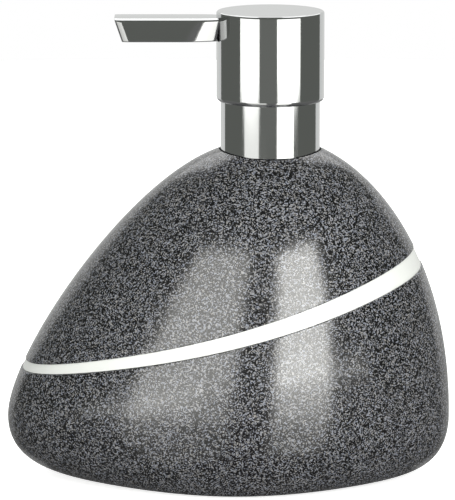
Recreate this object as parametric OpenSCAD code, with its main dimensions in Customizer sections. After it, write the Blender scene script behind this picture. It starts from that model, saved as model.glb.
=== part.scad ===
// Soap pump dispenser: a pebble-shaped cast bottle with an inlaid band and a
// telescoping screw-on lotion pump. Millimetres, +Z up. The pump turns about Z,
// z = 0 is the surface that the dispenser stands on, and the spout points to -X.

/* [Bottle outline] */
// Height of the bottle's shoulder rim beside the collar
shoulder_z = 95.5; // [94.5:0.5:96.5]
// Reach of the bottle from the pump axis towards -X, the spout's side
reach_left = 76; // [70:1:80]
// Reach of the bottle from the pump axis towards +X
reach_right = 52; // [48:1:56]
// Half of the bottle's depth
reach_deep = 44; // [40:1:48]
// Height of the widest level on the -X side
wide_left_z = 17.5; // [15:0.5:20]
// Height of the widest level on the +X side
wide_right_z = 18; // [15:0.5:21]
// Height of the deepest level
wide_deep_z = 25; // [20:1:28]
// How much the bottle's section is flattened between its four main directions
pinch = 0.053; // [0:0.01:0.08]
// Offset of the bottle's ridge towards -X at the base
ridge_shift = 9.7; // [6:0.1:12]
// Thickness of the bottle's wall
wall = 4; // [3:0.5:5]

/* [Band] */
// Height of the band's middle on the pump axis
band_z = 53.2; // [50:0.2:56]
// Rise of the band for each millimetre towards +X
band_rise = 0.275; // [0.2:0.005:0.3]
// Rise of the band for each millimetre towards the back
band_lean = 0.074; // [0:0.002:0.1]
// Width of the band on the pump axis, measured upright
band_width = 4; // [3.5:0.5:5]
// Growth of the band's width for each millimetre towards +X
band_taper = 0.033; // [0.02:0.001:0.035]
// Depth of the groove that holds the band
groove_depth = 1.6; // [1.2:0.1:2]
// How far the band lies below the bottle's surface
band_recess = 0.35; // [0.1:0.05:0.5]

/* [Base] */
// Radius of the round anti-slip pad
pad_r = 29; // [27:0.5:29.5]
// How far the pad stands proud of the bottle's base
pad_proud = 0.5; // [0.3:0.1:1]
// Radius of the filling hole that the base plug closes
plug_r = 24; // [20:0.5:24.5]

/* [Pump] */
// Height of the head's top face
head_top_z = 135.4; // [134:0.2:137]
// Outside radius of the head
head_r = 15.5; // [15.4:0.1:16]
// Height of the head from its top to its skirt's edge
head_h = 25.9; // [25:0.1:26]
// Outside radius of the collar
collar_r = 14.3; // [14.2:0.1:14.4]
// Travel of the pump head
stroke = 11; // [8:0.5:11.5]
// Lift of the pump for one turn of the closure
thread_pitch = 3.175; // [3:0.025:3.3]

/* [Spout] */
// Distance from the pump axis to the spout's tip
spout_reach = 44.7; // [40:0.1:50]
// Width of the spout's flat top
spout_w = 14; // [13:0.5:15]
// Height of the spout
spout_h = 6.6; // [6.4:0.1:7]

/* [Hidden] */
$fn = 64;

// Clearance between parts that are assembled and then don't move
gap = 0.05;
// Radial clearance of a shaft that runs in a bore
running = 0.08;
// Length that a cutter runs past the face it cuts
past = 1;

base_z = pad_proud;
base_centre_x = -9;
pad_t = 1.5;
floor_z = 7.5;
bottle_sides = 72;

// The collar's seat is a counterbore in the shoulder
seat_z = shoulder_z - 1.3;
seat_r = collar_r + 0.4;
neck_bore_r = 11;
cavity_top_z = shoulder_z - wall - 0.5;

// Heights of the pump, all from the seat
neck_rim_z = seat_z + 11.3;
gasket_t = 1.1;
flange_z = neck_rim_z + gasket_t;
flange_t = 1.2;
deck_z = flange_z + flange_t;
deck_t = 1.5;
collar_top_z = deck_z + 4.2;
guide_top_z = deck_z + 6;
guide_foot_z = deck_z - 3.8;
barrel_r = 5.2;
barrel_wall = 1;
barrel_foot_z = deck_z - 31.8;
stem_r = 3.5;
stem_bore_r = 1.6;
rod_r = 2.6;
piston_h = 6;
piston_foot_z = guide_foot_z - 0.2 - piston_h;
spring_wire_r = 0.45;
spring_r = 4;
inlet_ball_r = 2.4;
outlet_ball_r = 2.1;
tube_r = 2.5;
head_wall = 0.9;
head_foot_z = head_top_z - head_h;
spout_top_z = head_top_z - 1.7;
spout_foot_z = spout_top_z - spout_h;
tip_lean = 2.3;
spout_near = 12.4;
nozzle_z = spout_top_z - spout_h / 2;
outlet_x = -spout_reach + 4;
stem_top_z = nozzle_z - 1.3;

// ---- The bottle's shape ----

// Point at t on a cubic Bezier curve with the four control points p
function bezier(p, t) = pow(1 - t, 3) * p[0] + 3 * pow(1 - t, 2) * t * p[1]
    + 3 * (1 - t) * t * t * p[2] + pow(t, 3) * p[3];

// Half-width against height, as [z, r] pairs from the base up. The outline leaves the base
// flat, is upright at the widest level and meets the shoulder falling at shoulder_angle.
function outline(wide, wide_z, foot, foot_handle, lower, upper, shoulder_r, shoulder_angle, shoulder_handle) =
    let (low = [[base_z, foot], [base_z, foot + foot_handle], [wide_z - lower, wide], [wide_z, wide]],
        high = [[wide_z, wide], [wide_z + upper, wide],
            [shoulder_z - shoulder_handle * sin(shoulder_angle),
             shoulder_r + shoulder_handle * cos(shoulder_angle)],
            [shoulder_z, shoulder_r]],
        steps = 32)
    concat([for (i = [0:steps - 1]) bezier(low, i / steps)],
        [for (i = [0:steps]) bezier(high, i / steps)]);

right_outline = outline(reach_right, wide_right_z, 30.5, 8, 17, 42, 15, 25, 20.5);
left_outline = outline(reach_left, wide_left_z, 48, 7, 17, 17.5, 15, 18.5, 27.5);
deep_outline = outline(reach_deep, wide_deep_z, 33, 3, 13, 37, 13.4, 39, 20.5);

// Point of the bottle's surface at height z and angle a, moved in by the distance inset
function shape_point(z, a, inset = 0) =
    let (right = lookup(z, right_outline) - inset,
        left = lookup(z, left_outline) - inset,
        deep = lookup(z, deep_outline) - inset,
        share = z / shoulder_z,
        ridge = -ridge_shift * (1 - share),
        middle = (right + left) / 2,
        skew = (right - left) / 2 - ridge,
        flatten = 1 - pinch * (1 - pow(share, 3)) * pow(sin(2 * a), 2))
    [ridge + (middle * cos(a) + skew * pow(cos(a), 2)) * flatten, deep * sin(a) * flatten, z];

// Height of the band's edge at angle a: side is 1 for the upper edge and -1 for the lower one,
// and trim draws the edge into the band. Each pass puts the point found back into the edge's plane.
function band_edge(a, side, inset = 0, trim = 0, z = 50, passes = 12) = passes == 0 ? z :
    let (p = shape_point(z, a, inset),
        plane_z = band_z + side * (band_width / 2 - trim)
            + (band_rise + side * band_taper / 2) * p[0] + band_lean * p[1])
    band_edge(a, side, inset, trim, plane_z, passes - 1);

function ring(sides, heights, inset) =
    [for (i = [0:sides - 1]) shape_point(heights[i], 360 * i / sides, inset)];

function edge_heights(sides, side, inset = 0, trim = 0) =
    [for (i = [0:sides - 1]) band_edge(360 * i / sides, side, inset, trim)];

// Two triangles for each side between ring j and ring k
function strip(sides, j, k) = [for (i = [0:sides - 1])
    let (n = (i + 1) % sides)
    each [[j * sides + i, k * sides + n, j * sides + n], [j * sides + i, k * sides + i, k * sides + n]]];

// Solid skinned over closed rings, from the lowest up, with flat ends
module skin(rings) {
    sides = len(rings[0]);
    last = len(rings) - 1;
    polyhedron(
        points = [for (r = rings) each r],
        faces = concat([[for (i = [0:sides - 1]) i]],
            [for (j = [0:last - 1]) each strip(sides, j, j + 1)],
            [[for (i = [sides - 1:-1:0]) last * sides + i]]));
}

module bottle_outside() {
    sides = bottle_sides;
    rings_below = 12;
    rings_above = 16;
    low = edge_heights(sides, -1);
    high = edge_heights(sides, 1);
    skin(concat(
        [for (j = [0:rings_below])
            ring(sides, [for (z = low) base_z + (z - base_z) * (1 - cos(90 * j / rings_below))], 0)],
        [ring(sides, edge_heights(sides, -1, groove_depth), groove_depth),
         ring(sides, edge_heights(sides, 1, groove_depth), groove_depth)],
        [for (j = [0:rings_above])
            ring(sides, [for (z = high) z + (shoulder_z - z) * sin(90 * j / rings_above)], 0)]));
}

module bottle_cavity() {
    sides = 36;
    rings = 14;
    skin([for (j = [0:rings])
        let (z = floor_z + (cavity_top_z - floor_z) * sin(90 * j / rings))
        [for (i = [0:sides - 1])
            let (p = shape_point(z + wall, 360 * i / sides, wall))
            [p[0], p[1], z]]]);
}

// ---- Helpers for the pump ----

module tube(outer, inner, low, high) {
    translate([0, 0, low]) difference() {
        cylinder(r = outer, h = high - low);
        translate([0, 0, -past]) cylinder(r = inner, h = high - low + 2 * past);
    }
}

// Turned solid from [r, z] points
module turned(points) rotate_extrude($fn = 64) polygon(points);

// A quarter circle of radius r about c, as points, from the angle a to the angle b
function arc(c, r, a, b, steps = 8) =
    [for (i = [0:steps]) let (t = a + (b - a) * i / steps) [c[0] + r * cos(t), c[1] + r * sin(t)]];

// Thread ridge about Z: it stands from the radius root to the radius tip, and climbs from low
module thread_ridge(root, tip, root_w, tip_w, low, turns) {
    steps = round(24 * turns);
    profile = [[root, -root_w / 2], [tip, -tip_w / 2], [tip, tip_w / 2], [root, root_w / 2]];
    sections = [for (i = [0:steps])
        let (a = 360 * turns * i / steps)
        [for (p = profile) [p[0] * cos(a), p[0] * sin(a), low + thread_pitch * a / 360 + p[1]]]];
    skin(root > tip ? sections : [for (s = sections) [for (i = [3:-1:0]) s[i]]]);
}

// ---- Bottle ----

module body_casting() {
    color("dimgray") difference() {
        bottle_outside();
        bottle_cavity();
        translate([0, 0, cavity_top_z - past]) cylinder(r = neck_bore_r, h = 8);
        translate([0, 0, seat_z]) cylinder(r = seat_r, h = 4);
        translate([base_centre_x, 0, base_z - past]) {
            cylinder(r = pad_r + 0.3, h = past + pad_t - pad_proud + gap);
            cylinder(r = plug_r + 2, h = past + 4.2 - base_z);
            cylinder(r = plug_r, h = past + floor_z);
        }
    }
}

module band_inlay() {
    sides = bottle_sides;
    outer_low = edge_heights(sides, -1, band_recess, gap);
    outer_high = edge_heights(sides, 1, band_recess, gap);
    inner = groove_depth - gap;
    inner_low = edge_heights(sides, -1, inner, gap);
    inner_high = edge_heights(sides, 1, inner, gap);
    rings = [ring(sides, outer_low, band_recess), ring(sides, outer_high, band_recess),
        ring(sides, inner_high, inner), ring(sides, inner_low, inner)];
    color("ivory") polyhedron(
        points = [for (r = rings) each r],
        faces = [for (j = [0:3]) each strip(sides, j, (j + 1) % 4)]);
}

module base_plug() {
    color("dimgray") translate([base_centre_x, 0, 0]) {
        translate([0, 0, pad_t + gap]) cylinder(r = plug_r + 1.9, h = 3.6 - pad_t - gap);
        translate([0, 0, 3.6]) cylinder(r = plug_r - 0.1, h = floor_z - 3.6);
    }
}

module plug_seal() {
    color("gainsboro") translate([base_centre_x, 0, 0])
        tube(plug_r + 1.8, plug_r + 0.1, 3.6, 4.2);
}

module base_pad() {
    groove_w = 1;
    color("darkslategray") translate([base_centre_x, 0, 0]) difference() {
        cylinder(r = pad_r, h = pad_t);
        for (r = [pad_r * 0.45, pad_r * 0.7])
            tube(r + groove_w / 2, r - groove_w / 2, -past, 0.4);
    }
}

module neck_insert() {
    color("whitesmoke") difference() {
        union() {
            translate([0, 0, cavity_top_z - 6]) cylinder(r = neck_bore_r - gap, h = 12);
            translate([0, 0, seat_z]) cylinder(r = neck_bore_r + 1.5, h = 1.2);
            translate([0, 0, seat_z]) cylinder(r = neck_bore_r, h = neck_rim_z - seat_z);
            thread_ridge(neck_bore_r - 0.3, neck_bore_r + 0.85, 1.7, 0.7, seat_z + 4.4, 1.5);
        }
        translate([0, 0, cavity_top_z - 7]) cylinder(r = neck_bore_r - 2, h = 40);
    }
}

// ---- Closure ----

module collar_shell() {
    inner = collar_r - 0.8;
    edge = 0.4;
    color("silver") turned(concat(
        [[inner, seat_z + 0.1]],
        arc([collar_r - edge, seat_z + 0.1 + edge], edge, -90, 0, 4),
        arc([collar_r - edge, collar_top_z - edge], edge, 0, 90, 4),
        [[9.5, collar_top_z], [9.5, collar_top_z - 0.9], [inner, collar_top_z - 0.9]]));
}

module closure_ring() {
    outer = collar_r - 0.8 - gap;
    bore = neck_bore_r + 1.2;
    foot_z = seat_z + 1.7;
    color("whitesmoke") {
        tube(outer, bore, foot_z, deck_z + 0.5);
        tube(outer, 7.4, deck_z + gap, deck_z + deck_t);
        tube(outer, bore, deck_z + deck_t - 0.5, collar_top_z - 1);
        thread_ridge(bore + 0.3, bore - 0.85, 1.7, 0.7, seat_z + 4.4 - 1.2, 1.5);
    }
}

module neck_gasket() {
    color("white") tube(neck_bore_r + 0.3, barrel_r + barrel_wall + 1.5, neck_rim_z, flange_z);
}

// ---- Pump engine ----

module pump_housing() {
    outer = barrel_r + barrel_wall;
    chamber_r = 3;
    seat_hole_r = 1.6;
    socket_foot_z = barrel_foot_z - 22;
    color("whitesmoke") turned([
        [tube_r + gap, socket_foot_z], [tube_r + 1, socket_foot_z],
        [tube_r + 1, barrel_foot_z - 10.5], [chamber_r + 1.2, barrel_foot_z - 8.5],
        [chamber_r + 1.2, barrel_foot_z - 3.5], [outer, barrel_foot_z - 0.5],
        [outer, flange_z], [neck_bore_r, flange_z], [neck_bore_r, deck_z],
        [outer + 0.6, deck_z], [outer + 0.6, guide_top_z - 1.2 - gap], [barrel_r, guide_top_z - 1.2 - gap],
        [barrel_r, barrel_foot_z], [chamber_r, barrel_foot_z - 2.5],
        [chamber_r, barrel_foot_z - 6.5], [seat_hole_r, barrel_foot_z - 8.5],
        [seat_hole_r, barrel_foot_z - 10], [tube_r + gap, barrel_foot_z - 10]]);
}

module stem_guide() {
    sleeve_r = barrel_r + barrel_wall + 0.6 + gap;
    color("whitesmoke") turned([
        [stem_r + running, guide_foot_z], [barrel_r - 0.15, guide_foot_z],
        [barrel_r - 0.15, guide_top_z - 1.2], [sleeve_r, guide_top_z - 1.2],
        [sleeve_r, deck_z + deck_t + gap], [sleeve_r + 1.5, deck_z + deck_t + gap],
        [sleeve_r + 1.5, guide_top_z - 0.5], [sleeve_r + 1, guide_top_z],
        [stem_r + running, guide_top_z]]);
}

module ball_retainer() {
    color("whitesmoke") difference() {
        union() {
            translate([0, 0, barrel_foot_z + gap]) cylinder(r = barrel_r - gap, h = 1.2);
            translate([0, 0, barrel_foot_z - 2.3]) cylinder(r = 1.6, h = 3);
        }
        for (i = [0:5]) rotate([0, 0, 60 * i])
            translate([2.6, 0, barrel_foot_z - past]) cylinder(r = 0.7, h = 4, $fn = 24);
    }
}

// Each valve ball rests in a conical seat whose wall stands 35 degrees off the axis
module inlet_ball() {
    color("lightsteelblue") translate([0, 0, barrel_foot_z - 6.55])
        sphere(r = inlet_ball_r);
}

module dip_tube() {
    color("gainsboro") difference() {
        tube(tube_r, tube_r - 0.7, floor_z + 2, barrel_foot_z - 10.2);
        translate([0, 0, floor_z + 2]) rotate([0, 30, 0])
            translate([-10, -10, -8.6]) cube([20, 20, 8]);
    }
}

module return_spring() {
    low = barrel_foot_z + 1.25 + spring_wire_r + gap;
    high = piston_foot_z - 0.8 - spring_wire_r - gap;
    turns = 7.5;
    sides = 8;
    steps = 20 * turns;
    // The first and last turns lie nearly flat
    function climb(t) = low + (high - low) * (t - sin(360 * t) / 12);
    color("silver") skin([for (i = [0:steps])
        let (t = i / steps, a = 360 * turns * t)
        [for (k = [0:sides - 1])
            let (b = -360 * k / sides, r = spring_r + spring_wire_r * cos(b))
            [r * cos(a), r * sin(a), climb(t) + spring_wire_r * sin(b)]]]);
}

// ---- Plunger ----

module piston_rod() {
    color("whitesmoke") difference() {
        union() {
            translate([0, 0, piston_foot_z - 6]) cylinder(r = rod_r, h = piston_h + 12.2);
            translate([0, 0, piston_foot_z - 0.8]) cylinder(r = 4.7, h = 0.8);
        }
        translate([0, 0, piston_foot_z - 4]) cylinder(r = 1.3, h = 40);
        translate([-5, 0, piston_foot_z - 2.6]) rotate([0, 90, 0]) cylinder(r = 0.8, h = 10, $fn = 24);
    }
}

module piston_seal() {
    lip = barrel_r - 0.04;
    color("lightgray") turned([
        [rod_r + 0.03, piston_foot_z + gap], [lip - 0.6, piston_foot_z + gap], [lip, piston_foot_z + 0.7],
        [lip, piston_foot_z + 1.3], [lip - 0.7, piston_foot_z + 2.2], [lip - 0.7, piston_foot_z + 3.8],
        [lip, piston_foot_z + 4.7], [lip, piston_foot_z + 5.3], [lip - 0.6, piston_foot_z + piston_h],
        [rod_r + 0.03, piston_foot_z + piston_h]]);
}

// ---- Head ----

module stem() {
    chamber_r = 2.6;
    top_z = stem_top_z;
    color("whitesmoke") turned([
        [rod_r + 0.05, guide_foot_z - 0.1], [stem_r, guide_foot_z - 0.1], [stem_r, top_z],
        [chamber_r, top_z], [chamber_r, top_z - 2.8], [1.4, top_z - 4.5],
        [stem_bore_r, top_z - 6], [stem_bore_r, piston_foot_z + piston_h + 6.3],
        [rod_r + 0.05, piston_foot_z + piston_h + 6.3]]);
}

module outlet_ball() {
    color("lightsteelblue") translate([0, 0, stem_top_z - 2.8])
        sphere(r = outlet_ball_r);
}

module actuator_insert() {
    inner_top_z = head_top_z - 1.2;
    socket_foot_z = guide_top_z + stroke + 0.6;
    skirt_foot_z = collar_top_z + stroke + 1;
    outer = head_r - head_wall - gap;
    color("whitesmoke") difference() {
        union() {
            translate([0, 0, socket_foot_z]) cylinder(r = 5, h = inner_top_z - 0.5 - socket_foot_z);
            translate([0, 0, inner_top_z - 1.3]) cylinder(r = outer, h = 1.3 - gap);
            tube(outer, outer - 1.2, skirt_foot_z, inner_top_z - 1);
            translate([0, 0, nozzle_z]) rotate([0, -90, 0]) cylinder(r = 2.9, h = 10);
        }
        translate([0, 0, socket_foot_z - past])
            cylinder(r = stem_r + gap, h = stem_top_z + gap - socket_foot_z + past);
        // The space over the ball, with a peg hanging in it that stops the ball
        translate([0, 0, stem_top_z]) difference() {
            cylinder(r = 2.3, h = 2.7);
            translate([0, 0, 0.85]) cylinder(r = 0.8, h = 3);
        }
        translate([-1.5, 0, nozzle_z]) rotate([0, -90, 0]) cylinder(r = 1.3, h = 12);
        translate([-6, 0, nozzle_z]) rotate([0, -90, 0]) cylinder(r = 2 + gap, h = 12);
        spout_form(spout_near - 0.2, -0.1, 0);
    }
}

// Plan of the spout, moved in by inset: rounded corners at the tip, narrower towards the root
function spout_plan(near, inset, reach) =
    let (tip_r = 2.5 - inset / 2,
        half = spout_w / 2 - inset,
        waist_r = 22,
        waist_x = -23,
        corner = arc([-reach + tip_r, half - tip_r], tip_r, 90, 180),
        waist = [for (i = [0:10]) let (x = -near + (waist_x + near) * i / 10)
            [x, half - waist_r + sqrt(pow(waist_r, 2) - pow(x - waist_x, 2))]],
        side = concat(waist, corner))
    concat(side, [for (i = [len(side) - 1:-1:0]) [side[i][0], -side[i][1]]]);

// The spout as a solid, moved in by inset all round and by end_inset at its leaning tip
module spout_form(near, inset, end_inset) {
    reach = spout_reach - end_inset;
    intersection() {
        translate([0, 0, spout_foot_z + inset]) linear_extrude(spout_h - 2 * inset)
            polygon(spout_plan(near, inset, reach));
        // Side view: the tip leans back towards its foot
        translate([0, spout_w, 0]) rotate([90, 0, 0]) linear_extrude(2 * spout_w)
            polygon([[-near, spout_foot_z - past], [-reach + tip_lean * (1 + past / spout_h), spout_foot_z - past],
                [-reach - tip_lean * past / spout_h, spout_top_z + past], [-near, spout_top_z + past]]);
    }
}

module head_shell() {
    edge = 0.6;
    skirt_edge = 1.3;
    inner = head_r - head_wall;
    color("silver") difference() {
        turned(concat(
            [[0, head_top_z - 1.2], [inner, head_top_z - 1.2]],
            arc([head_r - skirt_edge, head_foot_z + skirt_edge], skirt_edge,
                -acos(1 - head_wall / skirt_edge), 0),
            arc([head_r - edge, head_top_z - edge], edge, 0, 90, 4),
            [[0, head_top_z]]));
        spout_form(spout_near - gap, -gap, 0);
    }
}

module spout_shell() {
    color("silver") difference() {
        spout_form(spout_near, 0, 0);
        spout_form(spout_near - past / 2, 1, 0.75);
        translate([outlet_x, 0, spout_foot_z - past]) cylinder(r = 1.15, h = 3);
    }
}

module nozzle_tube() {
    elbow_r = 1.6;
    bore = 0.7;
    lip_z = spout_foot_z - 0.5;
    color("white") difference() {
        union() {
            translate([-6.1, 0, nozzle_z]) rotate([0, -90, 0]) cylinder(r = 2, h = 31.5);
            translate([-30, 0, nozzle_z]) rotate([0, -90, 0]) cylinder(r = elbow_r, h = -outlet_x - 30);
            translate([outlet_x, 0, nozzle_z]) sphere(r = elbow_r);
            translate([outlet_x, 0, lip_z]) cylinder(r = 1.1, h = nozzle_z - lip_z);
        }
        translate([-5, 0, nozzle_z]) rotate([0, -90, 0]) cylinder(r = 1.3, h = 31);
        translate([-30, 0, nozzle_z]) rotate([0, -90, 0]) cylinder(r = bore, h = -outlet_x - 30);
        translate([outlet_x, 0, nozzle_z]) sphere(r = bore);
        translate([outlet_x, 0, lip_z - past]) cylinder(r = bore, h = nozzle_z - lip_z + past);
    }
}

body_casting();
band_inlay();
base_plug();
plug_seal();
base_pad();
neck_insert();
collar_shell();
closure_ring();
neck_gasket();
pump_housing();
stem_guide();
ball_retainer();
inlet_ball();
dip_tube();
return_spring();
piston_rod();
piston_seal();
stem();
outlet_ball();
actuator_insert();
head_shell();
spout_shell();
nozzle_tube();
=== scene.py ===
"""Looks of the soap pump dispenser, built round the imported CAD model.

The pump's axis is Z, the spout points to -X and the camera stands on the -Y side. Shapes are worked
out in millimetres, and skin() turns them into metres. The stage, lights and camera are in metres.
"""
import math

import bpy
import numpy as np
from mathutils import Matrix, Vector


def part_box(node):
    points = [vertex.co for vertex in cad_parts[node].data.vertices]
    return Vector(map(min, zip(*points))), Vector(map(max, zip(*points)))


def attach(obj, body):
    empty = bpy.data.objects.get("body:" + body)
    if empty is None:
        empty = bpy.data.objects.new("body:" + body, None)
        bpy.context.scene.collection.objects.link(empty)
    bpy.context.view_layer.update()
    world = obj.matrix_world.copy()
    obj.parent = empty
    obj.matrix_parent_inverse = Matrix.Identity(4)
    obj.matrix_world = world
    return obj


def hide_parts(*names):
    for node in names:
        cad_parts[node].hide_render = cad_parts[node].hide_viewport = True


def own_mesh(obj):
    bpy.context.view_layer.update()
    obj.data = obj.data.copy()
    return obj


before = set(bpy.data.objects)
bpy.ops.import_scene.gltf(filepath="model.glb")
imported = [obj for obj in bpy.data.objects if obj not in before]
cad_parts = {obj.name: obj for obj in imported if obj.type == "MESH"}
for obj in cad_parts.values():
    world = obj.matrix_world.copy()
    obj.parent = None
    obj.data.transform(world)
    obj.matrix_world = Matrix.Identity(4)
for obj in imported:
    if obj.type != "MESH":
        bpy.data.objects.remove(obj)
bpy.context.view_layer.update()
MM = 0.001

# ---- Sizes of the bottle, in millimetres, as in part.scad except for the band ----

SHOULDER_Z = 95.5
BASE_Z = 0.5
FLOOR_Z = 7.5
WALL = 4.0
SEAT_Z = 94.2
SEAT_R = 14.7
NECK_BORE_R = 11.0
CAVITY_TOP_Z = SHOULDER_Z - WALL - 0.5
# The base's opening: the hole for the plug, the ledge for its seal and the recess for the pad
BASE_CENTRE_X = -9.0
PLUG_HOLE_R = 24
LEDGE_R = 26
LEDGE_Z = 4.2
PAD_RECESS_R = 29.3
PAD_RECESS_Z = 1.55
# How far the section is drawn in at its four quarters, and how far its ridge moves to -X at the base
PINCH = 0.053
RIDGE_SHIFT = 9.7
# The band's edges lie in sloping planes. It is a little wider than in part.scad, with the same upper edge
BAND_Z = 52.9
BAND_RISE = 0.276
BAND_LEAN = 0.074
BAND_WIDTH = 4.6
BAND_TAPER = 0.031
BAND_RECESS = 0.35
BAND_GAP = 0.05
GROOVE_DEPTH = 1.6
# The groove's softened edge: distances outside the edge, with depths below the bottle's surface
EDGE_REACH = 0.3
SOFT_EDGE = ((EDGE_REACH, 0.0), (0.14, 0.015), (0.04, 0.07), (0.0, 0.2))
SIDES = 288
ANGLES = np.arange(SIDES) * 2 * math.pi / SIDES

# ---- Sizes of the spout, in millimetres ----

SPOUT_TOP_Z = 133.85
SPOUT_FOOT_Z = 127.1
SPOUT_W = 13.4
SPOUT_REACH = 44.7
SPOUT_NEAR = -12.0
SPOUT_DRAFT = 0.3
SPOUT_WALL = 0.9
SPOUT_END_WALL = 0.8
# Width and height of the rounding along its top edges, and the radius along its lower ones
TOP_ROUND_W = 2.6
TOP_ROUND_H = 0.9
FOOT_ROUND = 0.35
# The tip's corners in plan, the distance over which they turn, and how far the tip leans back below
TIP_R = 4.2
TIP_SPAN = 2.2
TIP_LEAN = 2.3
TIP_LEAN_FROM = 20
# Where the sides start to curve in towards the head, and the curve's radius. Both are for the top edge,
# with their change down to the foot
WAIST_X = -20.8
WAIST_SHIFT = 4.4
WAIST_R = 20
WAIST_R_GROWTH = 5
# How far the end face's edge is rounded, along the spout and across it
END_ROUND = 0.15
END_INSET = 0.4

# ---- Sizes of the return spring, in millimetres ----

SPRING_TURNS = 7.5
WIRE_R = 0.45

# ---- Shape helpers ----


def bezier(points, t):
    """Points on a cubic curve, one row for each value in t."""
    a, b, c, d = (np.array(p, float) for p in points)
    t = t[:, None]
    return (1 - t) ** 3 * a + 3 * (1 - t) ** 2 * t * b + 3 * (1 - t) * t * t * c + t ** 3 * d


def outline(wide, wide_z, foot, foot_handle, lower, upper, rim_r, rim_angle, rim_handle):
    """Half-width against height: a column of heights and a column of half-widths.

    One curve runs from the foot to the widest point, and one from there to the shoulder's rim.
    """
    t = np.linspace(0, 1, 1500)
    angle = math.radians(rim_angle)
    low = [(BASE_Z, foot), (BASE_Z, foot + foot_handle), (wide_z - lower, wide), (wide_z, wide)]
    high = [(wide_z, wide), (wide_z + upper, wide),
            (SHOULDER_Z - rim_handle * math.sin(angle), rim_r + rim_handle * math.cos(angle)),
            (SHOULDER_Z, rim_r)]
    return np.vstack([bezier(low, t)[:-1], bezier(high, t)])


RIGHT = outline(wide=52, wide_z=18, foot=30.5, foot_handle=8, lower=17, upper=42,
                rim_r=15, rim_angle=25, rim_handle=20.5)
LEFT = outline(wide=76, wide_z=17.5, foot=48, foot_handle=7, lower=17, upper=17.5,
               rim_r=15, rim_angle=18.5, rim_handle=27.5)
DEEP = outline(wide=44, wide_z=25, foot=33, foot_handle=3, lower=13, upper=37,
               rim_r=13.4, rim_angle=39, rim_handle=20.5)


def bottle_ring(z, inset=0.0):
    """The bottle's section at height z, a number or one height for each angle."""
    z = np.broadcast_to(np.asarray(z, float), ANGLES.shape)
    right = np.interp(z, RIGHT[:, 0], RIGHT[:, 1]) - inset
    left = np.interp(z, LEFT[:, 0], LEFT[:, 1]) - inset
    deep = np.interp(z, DEEP[:, 0], DEEP[:, 1]) - inset
    share = z / SHOULDER_Z
    ridge = -RIDGE_SHIFT * (1 - share)
    middle = (right + left) / 2
    skew = (right - left) / 2 - ridge
    flatten = 1 - PINCH * (1 - share ** 3) * np.sin(2 * ANGLES) ** 2
    x = ridge + (middle * np.cos(ANGLES) + skew * np.cos(ANGLES) ** 2) * flatten
    return np.stack([x, deep * np.sin(ANGLES) * flatten, z], 1)


def band_edge(side, inset=0.0, trim=0.0):
    """Height of the band's upper (side 1) or lower (side -1) edge at each angle.

    inset is the depth below the bottle's surface, and trim draws the edge into the band. Each pass
    puts the point found back into the edge's plane.
    """
    z = np.full(SIDES, 50.0)
    for _ in range(30):
        p = bottle_ring(z, inset)
        z = (BAND_Z + side * (BAND_WIDTH / 2 - trim)
             + (BAND_RISE + side * BAND_TAPER / 2) * p[:, 0] + BAND_LEAN * p[:, 1])
    return z


def circle_ring(radius, z, towards, centre_x=0.0):
    """A circle whose points lie on the rays from its centre to the points of the ring towards."""
    a = np.arctan2(towards[:, 1], towards[:, 0] - centre_x)
    z = np.broadcast_to(np.asarray(z, float), a.shape)
    return np.stack([centre_x + radius * np.cos(a), radius * np.sin(a), z], 1)


def skin(name, rings, material, closed=True, sharp=40):
    """A mesh skinned over rings of points, given in millimetres. closed joins the last ring to the first."""
    n = len(rings[0])
    faces = []
    count = len(rings) if closed else len(rings) - 1
    for j in range(count):
        k = (j + 1) % len(rings)
        for i in range(n):
            m = (i + 1) % n
            faces.append((j * n + i, j * n + m, k * n + m, k * n + i))
    mesh = bpy.data.meshes.new(name)
    mesh.from_pydata((np.vstack(rings) * MM).tolist(), [], faces)
    mesh.polygons.foreach_set("use_smooth", [True] * len(mesh.polygons))
    mesh.set_sharp_from_angle(angle=math.radians(sharp))
    mesh.materials.append(material)
    piece = bpy.data.objects.new(name, mesh)
    bpy.context.scene.collection.objects.link(piece)
    return piece


def between(a, b, share):
    """The point or ring that lies at share of the way from a to b."""
    return a * (1 - share) + b * share


# ---- Materials ----


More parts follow.
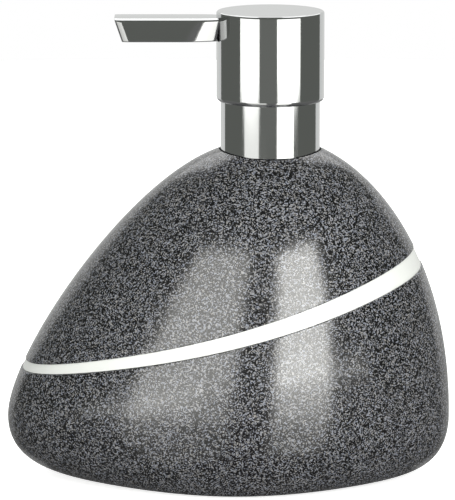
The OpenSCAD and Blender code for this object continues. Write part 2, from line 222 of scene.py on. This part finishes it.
class Nodes:
    """A material's node tree, with short ways to add nodes and links."""

    def __init__(self, name):
        self.material = bpy.data.materials.new(name)
        self.material.use_nodes = True
        self.tree = self.material.node_tree
        self.shader = self.tree.nodes["Principled BSDF"]
        self.place = self.tree.nodes.new("ShaderNodeTexCoord").outputs["Object"]

    def add(self, kind, inputs=(), **settings):
        node = self.tree.nodes.new("ShaderNode" + kind)
        for key, value in settings.items():
            setattr(node, key, value)
        for key, value in dict(inputs).items():
            self.put(node.inputs[key], value)
        return node

    def put(self, socket, value):
        if isinstance(value, bpy.types.NodeSocket):
            self.tree.links.new(value, socket)
        else:
            socket.default_value = value

    def set(self, **inputs):
        for key, value in inputs.items():
            self.put(self.shader.inputs[key.replace("_", " ")], value)

    def stretched(self, x, y, z):
        return self.add("Mapping", {"Vector": self.place, "Scale": (x, y, z)}).outputs[0]

    def cells(self, scale, output="Color"):
        return self.add("TexVoronoi", {"Vector": self.place, "Scale": scale,
                                       "Randomness": 1.0}).outputs[output]

    def noise(self, scale, detail=2.0, rough=0.5, vector=None):
        return self.add("TexNoise", {"Vector": vector or self.place, "Scale": scale, "Detail": detail,
                                     "Roughness": rough}).outputs["Fac"]

    def ramp(self, value, low, high, out_low=0.0, out_high=1.0):
        return self.add("MapRange", {"Value": value, "From Min": low, "From Max": high,
                                     "To Min": out_low, "To Max": out_high}).outputs[0]

    def mix(self, share, a, b):
        node = self.add("Mix", data_type="RGBA")
        self.put(node.inputs[0], share)
        for socket, value in ((node.inputs[6], a), (node.inputs[7], b)):
            self.put(socket, value if isinstance(value, bpy.types.NodeSocket) else (*value, 1))
        return node.outputs[2]

    def math(self, how, a, b=0.0):
        node = self.add("Math", operation=how)
        self.put(node.inputs[0], a)
        self.put(node.inputs[1], b)
        return node.outputs[0]

    def bump(self, height, strength, distance):
        self.set(Normal=self.add("Bump", {"Height": height, "Strength": strength,
                                          "Distance": distance}).outputs[0])


def stone_material():
    """Polished cast resin: a crowd of white mineral grains in black, under a clear gloss."""
    n = Nodes("stone_resin")
    fine = n.add("SeparateColor", {"Color": n.cells(3300)})
    coarse = n.add("SeparateColor", {"Color": n.cells(1500)})
    white = n.ramp(fine.outputs[0], 0.56, 0.84)
    patch = n.ramp(coarse.outputs[0], 0.0, 1.0, 0.7, 1.3)
    cloud = n.ramp(n.noise(45, 3), 0.3, 0.7, 0.88, 1.12)
    tint = n.mix(fine.outputs[1], (0.278, 0.266, 0.256), (0.226, 0.246, 0.306))
    share = n.math("MULTIPLY", white, n.math("MULTIPLY", patch, cloud))
    ground = n.mix(share, (0.002, 0.002, 0.0025), tint)
    n.set(Base_Color=ground, IOR=1.7, Roughness=n.ramp(n.noise(220, 4, 0.6), 0.3, 0.7, 0.15, 0.21))
    n.bump(n.noise(1100, 2), 0.05, 0.0001)
    return n.material


def inlay_material():
    """White inlay resin, nearly smooth, a little uneven where it was poured."""
    n = Nodes("white_inlay")
    n.set(Base_Color=n.mix(n.noise(150, 3), (0.76, 0.775, 0.76), (0.81, 0.825, 0.81)), IOR=1.5,
          Roughness=n.ramp(n.noise(400, 3), 0.3, 0.7, 0.3, 0.42))
    n.bump(n.noise(600, 2), 0.05, 0.0002)
    return n.material


def chrome_material():
    """Bright chromium plating: faint wipe marks in the gloss and a very shallow orange peel."""
    n = Nodes("chrome_plate")
    wipes = n.noise(90, 4, 0.6, n.stretched(1, 1, 0.25))
    specks = n.noise(2600, 1)
    n.set(Base_Color=n.mix(n.noise(40, 2), (0.64, 0.65, 0.655), (0.67, 0.675, 0.68)), Metallic=1.0,
          Roughness=n.math("ADD", n.ramp(wipes, 0.4, 0.75, 0.065, 0.1),
                           n.ramp(specks, 0.6, 0.8, 0.0, 0.02)))
    n.bump(n.noise(60, 2), 0.02, 0.0002)
    return n.material


def moulded_material(name, low, high, rough_low, rough_high, grain=900, depth=0.08, through=0.0):
    """Injection-moulded plastic with faint flow marks and the tool's fine texture."""
    n = Nodes(name)
    flow = n.noise(70, 4, 0.55, n.stretched(1, 1, 0.4))
    n.set(Base_Color=n.mix(flow, low, high), IOR=1.49, Transmission_Weight=through,
          Roughness=n.ramp(n.noise(300, 3), 0.3, 0.7, rough_low, rough_high))
    n.bump(n.noise(grain, 3), depth, 0.0002)
    return n.material


def rubber_material(name, low, high, pores):
    """Matt rubber or foam, with fine pores."""
    n = Nodes(name)
    cell = n.cells(pores, "Distance")
    n.set(Base_Color=n.mix(n.ramp(cell, 0.1, 0.6), low, high), IOR=1.52,
          Roughness=n.ramp(n.noise(350, 3), 0.3, 0.7, 0.7, 0.9))
    n.bump(cell, 0.35, 0.0002)
    return n.material


def glass_material(name):
    """Ground and polished valve ball of pale glass."""
    n = Nodes(name)
    n.set(Base_Color=n.mix(n.noise(300, 2), (0.86, 0.93, 0.92), (0.93, 0.96, 0.96)), IOR=1.5,
          Transmission_Weight=0.9, Roughness=n.ramp(n.noise(900, 3), 0.4, 0.7, 0.03, 0.12))
    n.bump(n.noise(1500, 2), 0.04, 0.0001)
    return n.material


def steel_material():
    """Drawn stainless spring wire, with die lines and a slight straw tint."""
    n = Nodes("spring_steel")
    lines = n.noise(3000, 2, 0.5, n.stretched(1, 1, 6))
    n.set(Base_Color=n.mix(n.noise(200, 2), (0.52, 0.51, 0.49), (0.6, 0.6, 0.6)), Metallic=1.0,
          Roughness=n.ramp(lines, 0.3, 0.7, 0.2, 0.38))
    n.bump(lines, 0.12, 0.0001)
    return n.material


def floor_gloss_material():
    """The dark, faintly glowing gloss that the object's reflections show."""
    n = Nodes("dark_gloss")
    n.set(Base_Color=(0.16, 0.16, 0.157, 1), Metallic=1.0, Roughness=0.13,
          Emission_Color=(1, 1, 1, 1), Emission_Strength=0.12)
    return n.material


def stage_material():
    """The pale floor that the camera shows, lit from within so that it comes out nearly white."""
    n = Nodes("pale_stage")
    n.set(Base_Color=n.mix(n.noise(6, 2), (0.9, 0.9, 0.9), (0.92, 0.92, 0.92)), Roughness=0.8,
          Specular_IOR_Level=0.1, Emission_Color=(1, 1, 1, 1), Emission_Strength=0.8)
    return n.material


stone = stone_material()
inlay = inlay_material()
chrome = chrome_material()
white_plastic = moulded_material("moulded_plastic", (0.78, 0.78, 0.75), (0.86, 0.86, 0.84), 0.35, 0.5)
seal_plastic = moulded_material("seal_plastic", (0.7, 0.73, 0.75), (0.8, 0.82, 0.83), 0.2, 0.32,
                                grain=600, depth=0.04, through=0.25)
tube_plastic = moulded_material("clear_tube", (0.82, 0.85, 0.85), (0.88, 0.9, 0.9), 0.12, 0.25,
                                grain=500, depth=0.03, through=0.6)
plug_plastic = moulded_material("plug_plastic", (0.02, 0.02, 0.021), (0.035, 0.035, 0.036), 0.45, 0.6)
pad_rubber = rubber_material("pad_rubber", (0.012, 0.012, 0.013), (0.03, 0.03, 0.031), 1400)
seal_rubber = rubber_material("seal_rubber", (0.38, 0.38, 0.36), (0.5, 0.5, 0.48), 2200)
gasket_foam = rubber_material("gasket_foam", (0.72, 0.72, 0.69), (0.84, 0.84, 0.82), 3500)
glass = glass_material("valve_ball")
steel = steel_material()

# The CAD nodes that are shown as they are
FINISH = {
    "collar_shell": chrome, "head_shell": chrome,
    "base_plug": plug_plastic, "plug_seal": seal_rubber, "base_pad": pad_rubber,
    "neck_insert": white_plastic, "closure_ring": white_plastic, "neck_gasket": gasket_foam,
    "pump_housing": white_plastic, "stem_guide": white_plastic, "ball_retainer": white_plastic,
    "piston_rod": white_plastic, "stem": white_plastic, "actuator_insert": white_plastic,
    "nozzle_tube": white_plastic, "piston_seal": seal_plastic, "dip_tube": tube_plastic,
    "inlet_ball": glass, "outlet_ball": glass,
}
for name, material in FINISH.items():
    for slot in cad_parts[name].material_slots:
        slot.link = "OBJECT"
        slot.material = material

# ---- Bottle and band ----


def rounded_edge(side):
    """Rings over the softened edge of the groove, from the bottle's surface to the groove's wall."""
    edge = band_edge(side)
    return [bottle_ring(edge + side * reach, depth) for reach, depth in SOFT_EDGE]


def shoulder_top():
    """Height of the shoulder's end at each angle. The collar's seat cuts it lower at the front and back."""
    top = np.full(SIDES, SHOULDER_Z)
    for _ in range(60):
        radius = np.hypot(*bottle_ring(top)[:, :2].T)
        top = np.clip(top - np.clip(SEAT_R + 0.15 - radius, 0, None) * 0.5, SEAT_Z + 0.1, SHOULDER_Z)
    return top


def make_bottle():
    """The hollow casting, as rings up the outside, over the rim, down the inside and out through the base."""
    foot_end, top_start, top = band_edge(-1) - EDGE_REACH, band_edge(1) + EDGE_REACH, shoulder_top()
    steps = 46
    rings = [bottle_ring(BASE_Z + (foot_end - BASE_Z) * (1 - math.cos(math.pi / 2 * j / steps)))
             for j in range(steps)]
    rings += rounded_edge(-1)
    rings += [bottle_ring(band_edge(side, GROOVE_DEPTH), GROOVE_DEPTH) for side in (-1, 1)]
    rings += rounded_edge(1)[::-1]
    steps = 44
    rings += [bottle_ring(top_start + (top - top_start) * math.sin(math.pi / 2 * j / steps))
              for j in range(1, steps + 1)]
    rim = rings[-1]
    for radius, z in ((SEAT_R + 0.04, top - 0.02), (SEAT_R, top - 0.12), (SEAT_R, SEAT_Z + 0.1),
                      (SEAT_R - 0.1, SEAT_Z), (NECK_BORE_R, SEAT_Z), (NECK_BORE_R, CAVITY_TOP_Z)):
        rings.append(circle_ring(radius, z, rim))
    steps = 22
    for j in range(steps, -1, -1):
        z = FLOOR_Z + (CAVITY_TOP_Z - FLOOR_Z) * math.sin(math.pi / 2 * j / steps)
        ring = bottle_ring(z + WALL, WALL)
        ring[:, 2] = z
        rings.append(ring)
    floor = rings[-1]
    for radius, z in ((PLUG_HOLE_R, FLOOR_Z), (PLUG_HOLE_R, LEDGE_Z), (LEDGE_R, LEDGE_Z),
                      (LEDGE_R, PAD_RECESS_Z), (PAD_RECESS_R, PAD_RECESS_Z), (PAD_RECESS_R, BASE_Z)):
        rings.append(circle_ring(radius, z, floor, BASE_CENTRE_X))
    bottle = skin("bottle_shell", rings, stone)
    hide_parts("body_casting")
    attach(bottle, "bottle")


def band_side(side):
    """Rings up one side of the band, from its foot in the groove to its softened corner."""
    steps = ((GROOVE_DEPTH - BAND_GAP, 0.0), (BAND_RECESS + 0.15, 0.0), (BAND_RECESS + 0.04, 0.03))
    return [bottle_ring(band_edge(side, depth, BAND_GAP + inward), depth) for depth, inward in steps]


def make_band():
    """The white band, which fills the groove nearly to the bottle's surface."""
    low, high = (band_edge(side, BAND_RECESS, BAND_GAP + 0.12) for side in (-1, 1))
    across = 6
    rings = band_side(-1)
    rings += [bottle_ring(between(low, high, j / across), BAND_RECESS) for j in range(across + 1)]
    rings += band_side(1)[::-1]
    band = skin("band_ring", rings, inlay)
    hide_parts("band_inlay")
    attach(band, "bottle")


# ---- Spout ----


def spout_side(height, inset):
    """Points down one side of the spout's section: distances from the side, and heights from its middle."""
    points = []
    edges = ((max(TOP_ROUND_W - inset, 0.1), max(TOP_ROUND_H - inset, 0.1), 1, 90),
             (FOOT_ROUND, FOOT_ROUND, -1, 0))
    for wide, tall, up, start in edges:
        for step in range(9):
            a = math.radians(start - 90 * step / 8)
            points.append((wide * math.cos(a) - wide, up * (height / 2 - tall) + tall * math.sin(a)))
        if up == 1:
            points += [(0.0, height * (0.5 - share)) for share in (0.15, 0.3, 0.6, 0.93)]
    return points


def spout_loop(x, inset):
    """The spout's cross-section at x, moved in by inset, as (x, y, z) points."""
    full_height = SPOUT_TOP_Z - SPOUT_FOOT_Z
    beyond = max(0.0, -(x + SPOUT_REACH - TIP_SPAN))
    half = SPOUT_W / 2 - (TIP_R - math.sqrt(max(TIP_R ** 2 - beyond ** 2, 0)))
    near = []
    for dy, dz in spout_side(full_height - 2 * inset, inset):
        depth = 0.5 - dz / full_height
        waist_x, waist_r = WAIST_X - WAIST_SHIFT * depth, WAIST_R + WAIST_R_GROWTH * depth
        bend = min(max(x - waist_x, 0.0), waist_r * 0.7)
        y = half - waist_r + math.sqrt(waist_r ** 2 - bend ** 2) - inset + dy - SPOUT_DRAFT * depth
        lean = TIP_LEAN * depth * max(0.0, min(1.0, (-x - TIP_LEAN_FROM) / 20)) ** 2
        near.append((x + lean, y, (SPOUT_TOP_Z + SPOUT_FOOT_Z) / 2 + dz))
    far = [(px, -py, pz) for px, py, pz in near[::-1]]
    return np.array(near + far)


def make_spout():
    """The chromed spout: a shell with rounded edges that narrows towards the head."""
    stations = list(np.linspace(SPOUT_NEAR, -SPOUT_REACH + TIP_SPAN, 28))
    stations += list(np.linspace(-SPOUT_REACH + TIP_SPAN, -SPOUT_REACH + END_ROUND, 9)[1:])
    rings = [spout_loop(x, 0.0) for x in stations]
    steps = 5
    for step in range(1, steps + 1):
        a = math.pi / 2 * step / steps
        rings.append(spout_loop(stations[-1] - END_ROUND * math.sin(a), END_INSET * (1 - math.cos(a))))
    # The end face, outside and then inside the shell
    end = rings[-1]
    rings += [between(end, end.mean(0), share) for share in (0.3, 0.6, 0.97)]
    inner = [spout_loop(x + SPOUT_END_WALL, SPOUT_WALL) for x in stations]
    end = inner[-1]
    rings += [between(end, end.mean(0), share) for share in (0.97, 0.5)]
    rings += inner[::-1]
    spout = skin("spout_cover", rings, chrome, sharp=50)
    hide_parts("spout_shell")
    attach(spout, "head")


# ---- Return spring ----


def make_spring():
    """The coil inside the pump, with end turns that lie nearly flat."""
    low, high = (np.array(corner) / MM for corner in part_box("return_spring"))
    foot, top = low[2] + WIRE_R, high[2] - WIRE_R
    coil_r = high[0] - WIRE_R
    section = np.radians(np.arange(0, -360, -30))
    steps = round(28 * SPRING_TURNS)
    rings = []
    for step in range(steps + 1):
        t = step / steps
        a = 2 * math.pi * SPRING_TURNS * t
        z = foot + (top - foot) * (t - math.sin(2 * math.pi * t) / 12)
        r = coil_r + WIRE_R * np.cos(section)
        rings.append(np.stack([r * math.cos(a), r * math.sin(a), z + WIRE_R * np.sin(section)], axis=1))
    # The wire's cut ends are drawn in almost to a point
    caps = [between(ring, ring.mean(0), 0.98) for ring in (rings[0], rings[-1])]
    spring = skin("spring_coil", [caps[0], *rings, caps[1]], steel, closed=False)
    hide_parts("return_spring")
    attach(spring, "pump_engine")
    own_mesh(spring)


make_bottle()
make_band()
make_spout()
make_spring()

# ---- Stage, light and camera ----


def disc(name, radius, z, material):
    """A flat round floor that isn't part of the object."""
    verts = [(radius * math.cos(a), radius * math.sin(a), z) for a in ANGLES[::2]]
    mesh = bpy.data.meshes.new(name)
    mesh.from_pydata(verts, [], [list(range(len(verts)))])
    mesh.materials.append(material)
    piece = bpy.data.objects.new(name, mesh)
    bpy.context.scene.collection.objects.link(piece)
    return piece


def stage_floor():
    """A pale floor that only the camera sees, just over a dark glossy one that the camera doesn't."""
    pale = disc("floor", 0.9, -0.0002, stage_material())
    pale.visible_diffuse = pale.visible_glossy = pale.visible_shadow = False
    gloss = disc("floor_gloss", 0.49, -0.0006, floor_gloss_material())
    gloss.visible_camera = False


def panel(name, place, towards, width, tall, radiance, tint=(1, 1, 1), only=None):
    """A rectangular light of an even radiance, which the camera doesn't see. only limits what it lights."""
    light = bpy.data.lights.new(name, "AREA")
    light.shape = "RECTANGLE"
    light.size, light.size_y = width, tall
    light.energy = radiance * width * tall * math.pi
    light.color = tint
    lamp = bpy.data.objects.new(name, light)
    lamp.location = place
    lamp.rotation_euler = (Vector(towards) - Vector(place)).to_track_quat("-Z", "Y").to_euler()
    lamp.visible_camera = False
    if only:
        lamp.light_linking.receiver_collection = only
    bpy.context.scene.collection.objects.link(lamp)


def upright(name, low_azimuth, high_azimuth, bottom, top, radiance, only=None, distance=1.0):
    """A standing light between two azimuths, in degrees from the camera's side towards +X."""
    a = math.radians((low_azimuth + high_azimuth) / 2)
    width = 2 * distance * math.tan(math.radians((high_azimuth - low_azimuth) / 2))
    place = Vector((distance * math.sin(a), -distance * math.cos(a), (bottom + top) / 2))
    panel(name, place, (0, 0, place.z), width, top - bottom, radiance, (1, 1, 0.965), only)


def light_room():
    """Two tall boxes for the bottle and the floors, low strips for the chrome, and two panels behind."""
    bottle_only = bpy.data.collections.new("bottle_only")
    for name in ("bottle_shell", "band_ring", "floor", "floor_gloss"):
        bottle_only.objects.link(bpy.data.objects[name])
    upright("right_box", 14, 46, -0.033, 1.0, 7.2, bottle_only)
    upright("left_box", -53, -9, -0.033, 1.1, 3.2, bottle_only)
    upright("right_low", 14, 66, -0.04, 0.03, 2.2)
    upright("left_low", -67, -23.5, -0.04, 0.03, 1.8)
    upright("right_foot", 15, 55, -0.25, -0.04, 2.2)
    upright("left_foot", -62, -27, -0.25, -0.04, 1.0)
    upright("front_fill", -23.5, 14, -0.064, 0.03, 0.045)
    panel("back_panel", (0, 1.15, 0.15), (0, 0, 0.15), 2.7, 1.0, 0.64)
    panel("back_top", (0, 0.95, 1.2), (0, 0, 0.12), 1.6, 1.3, 1.6)


def make_world():
    """A dim room for light and reflections, and plain white behind the object as the camera sees it."""
    world = bpy.data.worlds.new("dim_room")
    bpy.context.scene.world = world
    world.use_nodes = True
    tree = world.node_tree
    dim = tree.nodes["Background"]
    dim.inputs["Color"].default_value = (0.135, 0.142, 0.13, 1)
    pale = tree.nodes.new("ShaderNodeBackground")
    pale.inputs["Color"].default_value = (1, 1, 1, 1)
    seen = tree.nodes.new("ShaderNodeLightPath")
    share = tree.nodes.new("ShaderNodeMixShader")
    tree.links.new(seen.outputs["Is Camera Ray"], share.inputs[0])
    tree.links.new(dim.outputs[0], share.inputs[1])
    tree.links.new(pale.outputs[0], share.inputs[2])
    tree.links.new(share.outputs[0], tree.nodes["World Output"].inputs[0])


def make_camera(aim, distance, elevation):
    """A long lens on the -Y side, looking down at aim from an elevation in radians."""
    lens = bpy.data.cameras.new("camera")
    lens.sensor_width = 36
    lens.lens = 349.3
    lens.clip_end = 20
    camera = bpy.data.objects.new("camera", lens)
    camera.location = aim + distance * Vector((0, -math.cos(elevation), math.sin(elevation)))
    camera.rotation_euler = (math.pi / 2 - elevation, 0, 0)
    bpy.context.scene.collection.objects.link(camera)
    bpy.context.scene.camera = camera


stage_floor()
light_room()
make_world()
make_camera(aim=Vector((-12.27, 0, 65.9)) * MM, distance=1.4, elevation=math.radians(9.93))
bpy.context.scene.view_settings.view_transform = "Standard"
